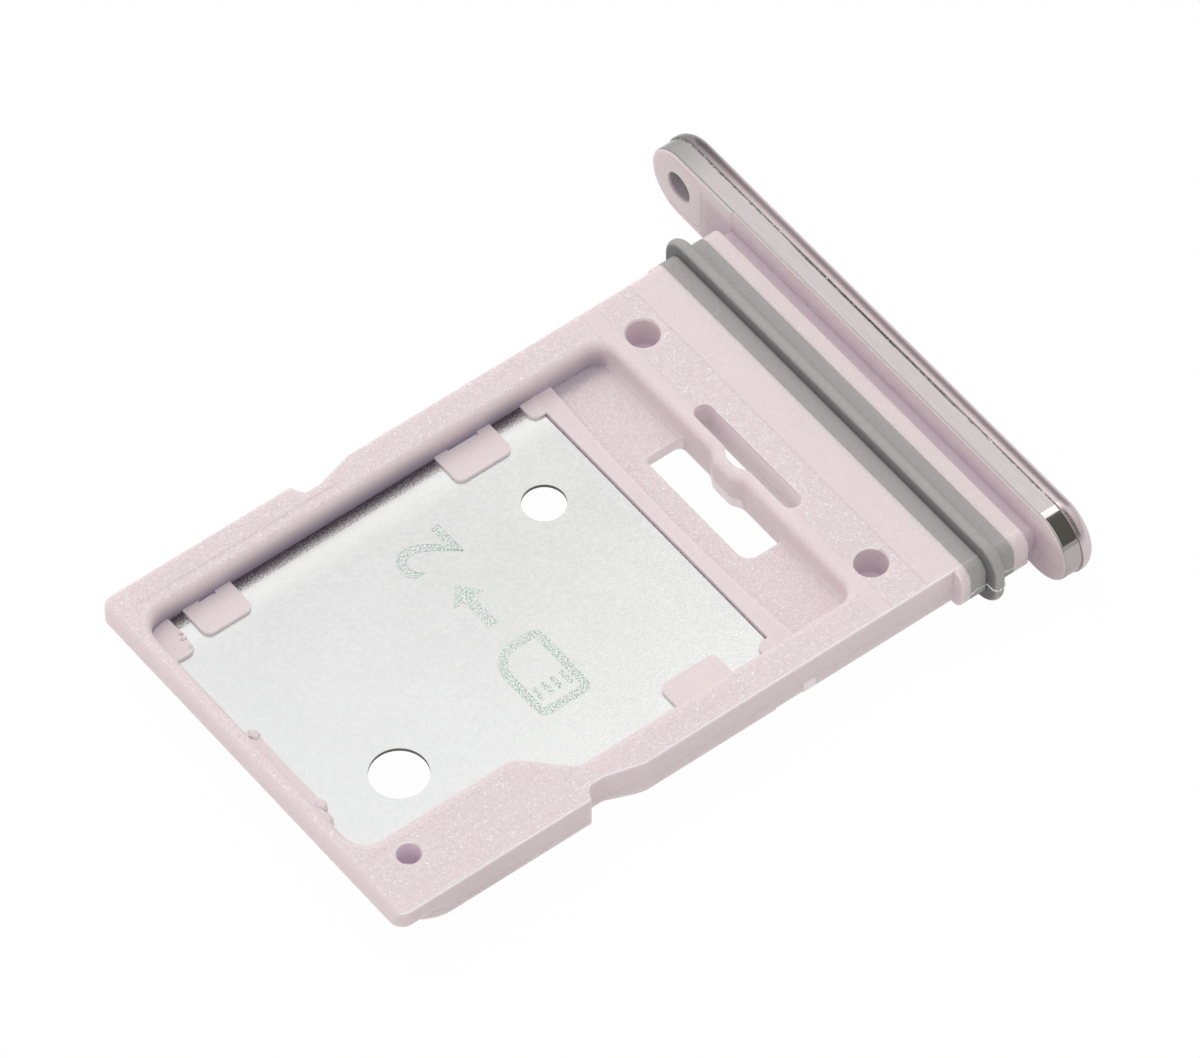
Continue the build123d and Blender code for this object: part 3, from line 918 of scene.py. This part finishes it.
@dataclass
class PlateMark:
    """The etched signs on the plate: a card's outline, an arrow and a number.

    Lengths run along the signs' reading direction, which is the tray's +Y, and up, which is its -X.
    """

    foot_x: float = -2.15
    start_y: float = -4.33
    thick: float = 0.003
    rim: float = 0.04
    card_length: float = 2.6
    card_height: float = 1.8
    card_corner: float = 0.55
    card_rounding: float = 0.33
    stroke: float = 0.27
    contact_length: float = 0.5
    contact_width: float = 0.16
    contact_start: float = 0.5
    contact_rounding: float = 0.3
    contacts: int = 4
    arrow_start: float = 3.35
    arrow_length: float = 1.7
    arrow_head: float = 0.62
    arrow_width: float = 1.0
    arrow_shaft: float = 0.32
    arrow_shoulder: float = 0.03
    arrow_point: float = 0.08
    number: str = "2"
    number_start: float = 5.8
    number_height: float = 1.8
    number_share: float = 0.69
    number_weight: float = 0.012
    fill: EtchedSteel = EtchedSteel("etched_fill", srgb(158, 176, 170), srgb(246, 249, 247))
    made: Optional[Material] = None

    def plane(self, name: str, start: Span, size: Span) -> Bench:
        """Adds a flat rectangle on the signs' own plan.

        Args:
            name: the piece's name.
            start: its start along the reading direction, and its foot.
            size: its length and height.

        Returns:
            The piece.
        """
        Bench.clear()
        middle = Vector((start[0] + size[0] / 2, start[1] + size[1] / 2, 0)) * MM
        bpy.ops.mesh.primitive_plane_add(size=1.0, location=middle)
        bpy.ops.transform.resize(value=(size[0] * MM, size[1] * MM, 1.0))
        return Bench(name)

    def card(self) -> None:
        """Makes the card's outline with one cut corner."""
        bench = self.plane("mark_card", (0.0, 0.0), (self.card_length, self.card_height))
        bench.open()
        bench.pick(lambda p: p.x > self.card_length - 0.1 and p.y > self.card_height - 0.1)
        bpy.ops.mesh.bevel(offset=self.card_corner * MM, segments=1, affect="VERTICES")
        bench.take_all()
        bpy.ops.mesh.bevel(offset=self.card_rounding * MM, segments=5, affect="VERTICES")
        bpy.ops.mesh.select_mode(type="FACE")
        bench.take_all()
        bpy.ops.mesh.inset(thickness=self.stroke * MM)
        bpy.ops.mesh.delete(type="FACE")
        bench.close()
        self.raise_sign(bench)

    def contact_bars(self) -> None:
        """Makes the card's short contact bars, rounded at their ends."""
        pitch = (self.card_height - 2 * self.stroke) / self.contacts
        for place in range(self.contacts):
            foot = self.stroke + pitch * (place + 0.5) - self.contact_width / 2
            size = (self.contact_length, self.contact_width)
            bar = self.plane(f"mark_bar_{place}", (self.contact_start, foot), size)
            bar.open()
            offset = self.contact_width * self.contact_rounding * MM
            bpy.ops.mesh.bevel(offset=offset, segments=3, affect="VERTICES")
            bar.close()
            self.raise_sign(bar)

    def arrow(self) -> None:
        """Makes the arrow that shows which way the card goes in."""
        shaft = self.arrow_length - self.arrow_head
        foot = (self.card_height - self.arrow_shaft) / 2
        bench = self.plane("mark_arrow", (self.arrow_start, foot), (shaft, self.arrow_shaft))
        end = self.arrow_start + shaft
        bench.open("EDGE")
        bench.pick(lambda p: p.x > end - 0.01, "EDGE")
        shoulder = self.arrow_shoulder * MM
        bpy.ops.mesh.extrude_region_move(TRANSFORM_OT_translate={"value": (shoulder, 0, 0)})
        bpy.ops.transform.resize(value=(1.0, self.arrow_width / self.arrow_shaft, 1.0))
        head = self.arrow_head * MM - shoulder
        bpy.ops.mesh.extrude_region_move(TRANSFORM_OT_translate={"value": (head, 0, 0)})
        bpy.ops.transform.resize(value=(1.0, self.arrow_point, 1.0))
        bench.take_all()
        bpy.ops.mesh.dissolve_limited(angle_limit=math.radians(1))
        bench.close()
        self.raise_sign(bench)

    def numeral(self) -> None:
        """Makes the number from the plain built-in letter shapes."""
        Bench.clear()
        bpy.ops.object.text_add(location=(self.number_start * MM, 0, 0))
        text = bpy.context.object
        text.data.body = self.number
        text.data.size = self.number_height / self.number_share * MM
        text.data.resolution_u = 6
        text.data.offset = self.number_weight * MM
        bpy.ops.object.convert(target="MESH")
        bench = Bench("mark_number")
        bench.open()
        bpy.ops.mesh.remove_doubles(threshold=0.002 * MM)
        bpy.ops.mesh.dissolve_limited(angle_limit=math.radians(1))
        bench.close()
        self.raise_sign(bench)

    def raise_sign(self, bench: Bench) -> None:
        """Gives a flat sign a strip of faces along its edge and a thickness, and lays it on the plate.

        Args:
            bench: the flat sign.
        """
        bench.open("FACE")
        bpy.ops.mesh.normals_make_consistent(inside=False)
        bpy.ops.mesh.inset(thickness=self.rim * MM, use_boundary=True)
        bench.close()
        for face in bench.piece.data.polygons:
            if face.normal.z < 0:
                face.flip()
        turn = Matrix.Rotation(math.radians(90), 4, "Z")
        place = Vector((self.foot_x, self.start_y, PLAN.plate_top + self.thick / 2)) * MM
        bench.piece.matrix_world = Matrix.Translation(place) @ turn
        bench.settle()
        bench.modify("SOLIDIFY", thickness=self.thick * MM, offset=0.0)
        bench.finish(Slot.SHEET, self.made, smooth=False)

    def build(self) -> None:
        """Makes, places and dresses every sign."""
        self.made = self.fill.make()
        self.card()
        self.arrow()
        self.numeral()
        self.contact_bars()


@dataclass
class GlueSeam:
    """The thin ragged line of glue where the cover meets the flange."""

    radius: float = 1.205
    thick: float = 0.036
    ragged: float = 0.085
    grain: float = 0.09
    steps: int = 260
    bare_end: float = 0.3
    skin: RaggedSkin = RaggedSkin("seam_glue", srgb(104, 104, 104), srgb(238, 236, 234), 0.6)

    def build(self) -> None:
        """Makes the seam as a ring stretched along the cap, bare round its near end, then made ragged."""
        Bench.clear()
        place = Vector((PLAN.flange_end, 0, PLAN.cap_middle)) * MM
        bpy.ops.mesh.primitive_torus_add(
            location=place, rotation=(0, math.radians(90), 0), major_segments=120, minor_segments=6,
            major_radius=self.radius * MM, minor_radius=self.thick * MM,
        )
        bench = Bench("glue_seam")
        bench.open()
        run = PLAN.cap_half_run
        for side in (1, -1):
            bench.pick(lambda p: p.y * side > 0.001)
            bpy.ops.transform.translate(value=(0, side * run * MM, 0))
        bench.pick(lambda p: abs(p.y) < run - 0.1, "EDGE")
        bpy.ops.mesh.subdivide(number_cuts=self.steps)
        bench.take_all()
        bpy.ops.mesh.normals_make_consistent(inside=False)
        bench.pick(lambda p: p.y < -run - self.bare_end)
        bpy.ops.mesh.delete(type="VERT")
        bench.take_all()
        bpy.ops.mesh.fill_holes(sides=0)
        bench.close()
        bench.roughen(self.grain, self.ragged)
        bench.finish(Slot.METAL, self.skin.make())


@dataclass
class PartingFlash:
    """The ragged ridge that the mould's halves leave round the neck's near end."""

    node: str
    run: Span
    slot: Slot
    skin: RaggedSkin
    thick: float
    rise: Span = (0.10, 0.16)
    sway: Span = (0.07, 0.03)
    grain: float = 0.05
    ragged_share: float = 0.9
    cuts: int = 7
    depth: float = 7.95
    height: float = PLAN.parting

    def build(self) -> None:
        """Cuts the ridge's path out of a copy of the node, then thickens and roughens it."""
        Bench.clear()
        source = frame["nodes"][self.node]
        path = source.copy()
        path.data = source.data.copy()
        path.animation_data_clear()
        bpy.context.scene.collection.objects.link(path)
        bpy.context.view_layer.objects.active = path
        bench = Bench("flash_on_" + self.node)
        for name in list(path.keys()):
            del path[name]
        bench.piece.data.materials.clear()
        bench.open()
        bpy.ops.mesh.remove_doubles(threshold=0.0005 * MM)
        bpy.ops.mesh.bisect(
            plane_co=(0, 0, self.height * MM), plane_no=(0, 0, 1), clear_inner=True, clear_outer=True,
        )
        bench.pick(lambda p: p.y > -self.depth or not self.run[0] <= p.x <= self.run[1])
        bpy.ops.mesh.delete(type="VERT")
        bench.take_all()
        bpy.ops.mesh.subdivide(number_cuts=self.cuts)
        bench.close()
        bench.roughen(*self.rise, "Z")
        bench.roughen(*self.sway, "X")
        bench.hold()
        bpy.ops.object.convert(target="CURVE")
        bench.piece.data.bevel_depth = self.thick * MM
        bench.piece.data.bevel_resolution = 2
        bench.piece.data.use_fill_caps = True
        bpy.ops.object.convert(target="MESH")
        bench.roughen(self.grain, self.thick * self.ragged_share)
        bench.finish(self.slot, self.skin.make())


@dataclass
class MouldBurrs:
    """The small lumps of plastic left at the ends of the end strip and on the corner pad.

    Each lump is its middle, then its half sizes.
    """

    lumps: tuple[tuple[Point, Point], ...] = (
        ((-10.48, -0.03, 1.12), (0.15, 0.22, 0.20)),
        ((-10.46, -3.00, 1.12), (0.16, 0.22, 0.20)),
        ((-10.70, -3.42, 1.12), (0.25, 0.34, 0.20)),
        ((-10.00, 3.93, 1.13), (0.09, 0.09, 0.12)),
        ((-10.03, 3.74, 1.13), (0.10, 0.07, 0.12)),
        ((-10.05, 3.42, 1.13), (0.09, 0.10, 0.12)),
    )
    grain: float = 0.12
    ragged: float = 0.05
    foot: float = PLAN.plate_top + 0.002
    roof: float = PLAN.pad_top - 0.012

    def build(self, plastic: Material) -> None:
        """Makes and dresses every lump, ragged round its outline and flat on top.

        Args:
            plastic: the frame's own finish.
        """
        for number, (middle, size) in enumerate(self.lumps):
            Bench.clear()
            place = Vector(middle) * MM
            bpy.ops.mesh.primitive_ico_sphere_add(subdivisions=4, radius=MM, location=place)
            bpy.ops.transform.resize(value=size)
            bench = Bench(f"mould_burr_{number}")
            bench.roughen(self.grain, self.ragged)
            bench.open()
            for level, side in ((self.foot, "clear_inner"), (self.roof, "clear_outer")):
                level_place = (0, 0, level * MM)
                bpy.ops.mesh.bisect(plane_co=level_place, plane_no=(0, 0, 1), use_fill=True, **{side: True})
                bench.take_all()
            bpy.ops.mesh.normals_make_consistent(inside=False)
            bench.close()
            bench.finish(Slot.PLASTIC, plastic)


@dataclass
class DressedTray:
    """The CAD solids and their finishes."""

    finishes: tuple[tuple[str, Finish], ...] = (
        ("base_plate", SatinStainless()),
        ("seal_ring", SealRubber()),
        ("cap_cover", CoverMetal()),
        ("tray_frame", MouldedPlastic()),
    )

    def build(self) -> Material:
        """Gives each CAD node its finish.

        Returns:
            The frame's own plastic.
        """
        for node, finish in self.finishes:
            made = finish.make()
            for place in frame["nodes"][node].material_slots:
                place.material = made
            log.info("dressed %s with %s", node, finish.name)
        return made


@dataclass
class Card:
    """A flat studio card that only shows in the metal's reflections."""

    name: str
    toward: Point
    along: Point
    wide: float
    tall: float
    level: float
    tint: Colour = (1.0, 1.0, 0.97)
    distance: float = 0.15

    def build(self) -> None:
        """Stands the card beside the tray, facing it, its tall side along a given direction."""
        away = Vector(self.toward).normalized()
        Bench.clear()
        bpy.ops.mesh.primitive_plane_add(size=1.0)
        card = bpy.context.object
        card.name = self.name
        side = Vector(self.along).cross(away).normalized()
        turn = Matrix((side, away.cross(side), away)).transposed().to_4x4()
        size = Matrix.Diagonal((self.wide, self.tall, 1.0, 1.0))
        card.matrix_world = Matrix.Translation(away * self.distance) @ turn @ size
        sheet = Sheet(self.name)
        sheet.set(Base_Color=(0.0, 0.0, 0.0, 1.0), Roughness=0.9,
                  Emission_Color=(*self.tint, 1.0), Emission_Strength=self.level)
        card.data.materials.append(sheet.material)
        card.visible_camera = False
        card.visible_diffuse = False
        card.visible_shadow = False


@dataclass
class Studio:
    """The floor, lights and camera."""

    aim: Point = (0.870, -0.635, 1.895)
    forward: Point = (0.3740, 0.4857, -0.7901)
    distance: float = 356.6
    lens: float = 392.6
    roll: float = -0.20
    key_side: Point = (0.05, 0.60, 0.80)
    dim_side: float = 0.66
    bright_side: float = 1.03
    turn: Span = (-0.3, 0.85)
    floor_size: float = 6.0
    floor_drop: float = 0.01
    floor_share: float = 0.98
    floor_glow: float = 0.35
    lamp_place: Point = (0.03, 0.34, 0.48)
    lamp_size: float = 0.3
    lamp_power: float = 0.62
    cards: tuple[Card, ...] = (
        Card("dark_end_card", (0.073, -0.078, 0.115), (0, 0.82, 0.56), 0.036, 0.242, 0.11,
             tint=(0.96, 1.0, 0.82)),
        Card("bright_end_card", (0.067, 0.038, 0.134), (0, 0.96, -0.27), 0.036, 0.041, 1.8),
        Card("dark_side_card", (0.82, 0.46, 0.34), (0, 0, 1), 0.10, 0.115, 0.42, tint=(1.0, 0.94, 0.97)),
    )

    def camera(self) -> None:
        """Places the camera that matches the photograph."""
        data = bpy.data.cameras.new("photo_camera")
        data.lens = self.lens
        camera = bpy.data.objects.new("photo_camera", data)
        bpy.context.scene.collection.objects.link(camera)
        forward = Vector(self.forward).normalized()
        place = (Vector(self.aim) - forward * self.distance) * MM
        turn = forward.to_track_quat("-Z", "Y").to_matrix().to_4x4()
        spin = Matrix.Rotation(math.radians(self.roll), 4, "Z")
        camera.matrix_world = Matrix.Translation(place) @ turn @ spin
        bpy.context.scene.camera = camera

    def lamp(self) -> None:
        """Adds the square soft key light, aimed at the tray."""
        data = bpy.data.lights.new("key_softbox", "AREA")
        data.size = self.lamp_size
        data.energy = self.lamp_power
        lamp = bpy.data.objects.new("key_softbox", data)
        bpy.context.scene.collection.objects.link(lamp)
        away = Vector(self.lamp_place)
        lamp.matrix_world = Matrix.Translation(away) @ (-away).to_track_quat("-Z", "Y").to_matrix().to_4x4()
        lamp.visible_glossy = False

    def world(self) -> None:
        """Sets a white surround, brighter on the key's side, that the camera sees as plain white."""
        world = bpy.data.worlds.new("studio")
        bpy.context.scene.world = world
        world.use_nodes = True
        board = Board(world.node_tree)
        toward = board.add("ShaderNodeVectorMath")
        toward.operation = "DOT_PRODUCT"
        toward.inputs[1].default_value = Vector(self.key_side).normalized()
        board.join(board.add("ShaderNodeTexCoord").outputs["Generated"], toward.inputs[0])
        level = board.ramp(toward.outputs["Value"], *self.turn, self.dim_side, self.bright_side)
        seen = board.add("ShaderNodeLightPath").outputs["Is Camera Ray"]
        strength = board.either(board.times(level, board.but(seen)), seen)
        light = board.add("ShaderNodeBackground", Color=(1.0, 1.0, 1.0, 1.0), Strength=strength)
        board.join(light.outputs[0], board.add("ShaderNodeOutputWorld").inputs[0])

    def floor(self) -> None:
        """Lays a large pale floor that shows white, keeps a soft shadow and is clear from below."""
        Bench.clear()
        bpy.ops.mesh.primitive_plane_add(size=self.floor_size, location=(0, 0, -self.floor_drop * MM))
        floor = bpy.context.object
        floor.name = "floor"
        sheet = Sheet("pale_floor")
        sheet.set(Base_Color=(0.9, 0.9, 0.9, 1.0), Roughness=0.8)
        rays = sheet.add("ShaderNodeLightPath")
        other = [rays.outputs[f"Is {kind} Ray"] for kind in ("Glossy", "Transmission", "Diffuse")]
        glowing = sheet.times(sheet.either(*other), self.floor_glow)
        seen = sheet.either(rays.outputs["Is Camera Ray"], glowing)
        glow = sheet.add("ShaderNodeEmission", Strength=1.0).outputs[0]
        behind = sheet.add("ShaderNodeNewGeometry").outputs["Backfacing"]
        clear = sheet.add("ShaderNodeBsdfTransparent").outputs[0]
        surface = sheet.shader.outputs[0]
        for share, other in ((sheet.times(seen, self.floor_share), glow), (behind, clear)):
            mixed = sheet.add("ShaderNodeMixShader")
            for source, target in zip((share, surface, other), mixed.inputs):
                sheet.join(source, target)
            surface = mixed.outputs[0]
        sheet.join(surface, sheet.surface)
        floor.data.materials.append(sheet.material)

    def build(self) -> None:
        """Sets up the whole studio."""
        self.camera()
        self.world()
        self.floor()
        self.lamp()
        for card in self.cards:
            card.build()
        bpy.context.scene.view_settings.view_transform = "Standard"
        log.info("set up the studio")


def main() -> None:
    """Builds the scene in order."""
    logging.basicConfig(level=logging.INFO)
    Studio().build()
    plastic = DressedTray().build()
    PlateMark().build()
    GlueSeam().build()
    pale = RaggedSkin("rubber_flash", srgb(200, 197, 194), srgb(240, 238, 236), 0.5)
    seal = (PLAN.seal_start - 0.1, PLAN.seal_end + 0.1)
    PartingFlash("seal_ring", seal, Slot.RUBBER, pale, thick=0.026).build()
    pink = RaggedSkin("plastic_flash", srgb(214, 196, 196), srgb(244, 236, 236), 0.5)
    neck = (PLAN.seal_end, PLAN.neck_end + 0.01)
    PartingFlash("tray_frame", neck, Slot.PLASTIC, pink, thick=0.014).build()
    MouldBurrs().build(plastic)


if __name__ == "__main__":
    main()
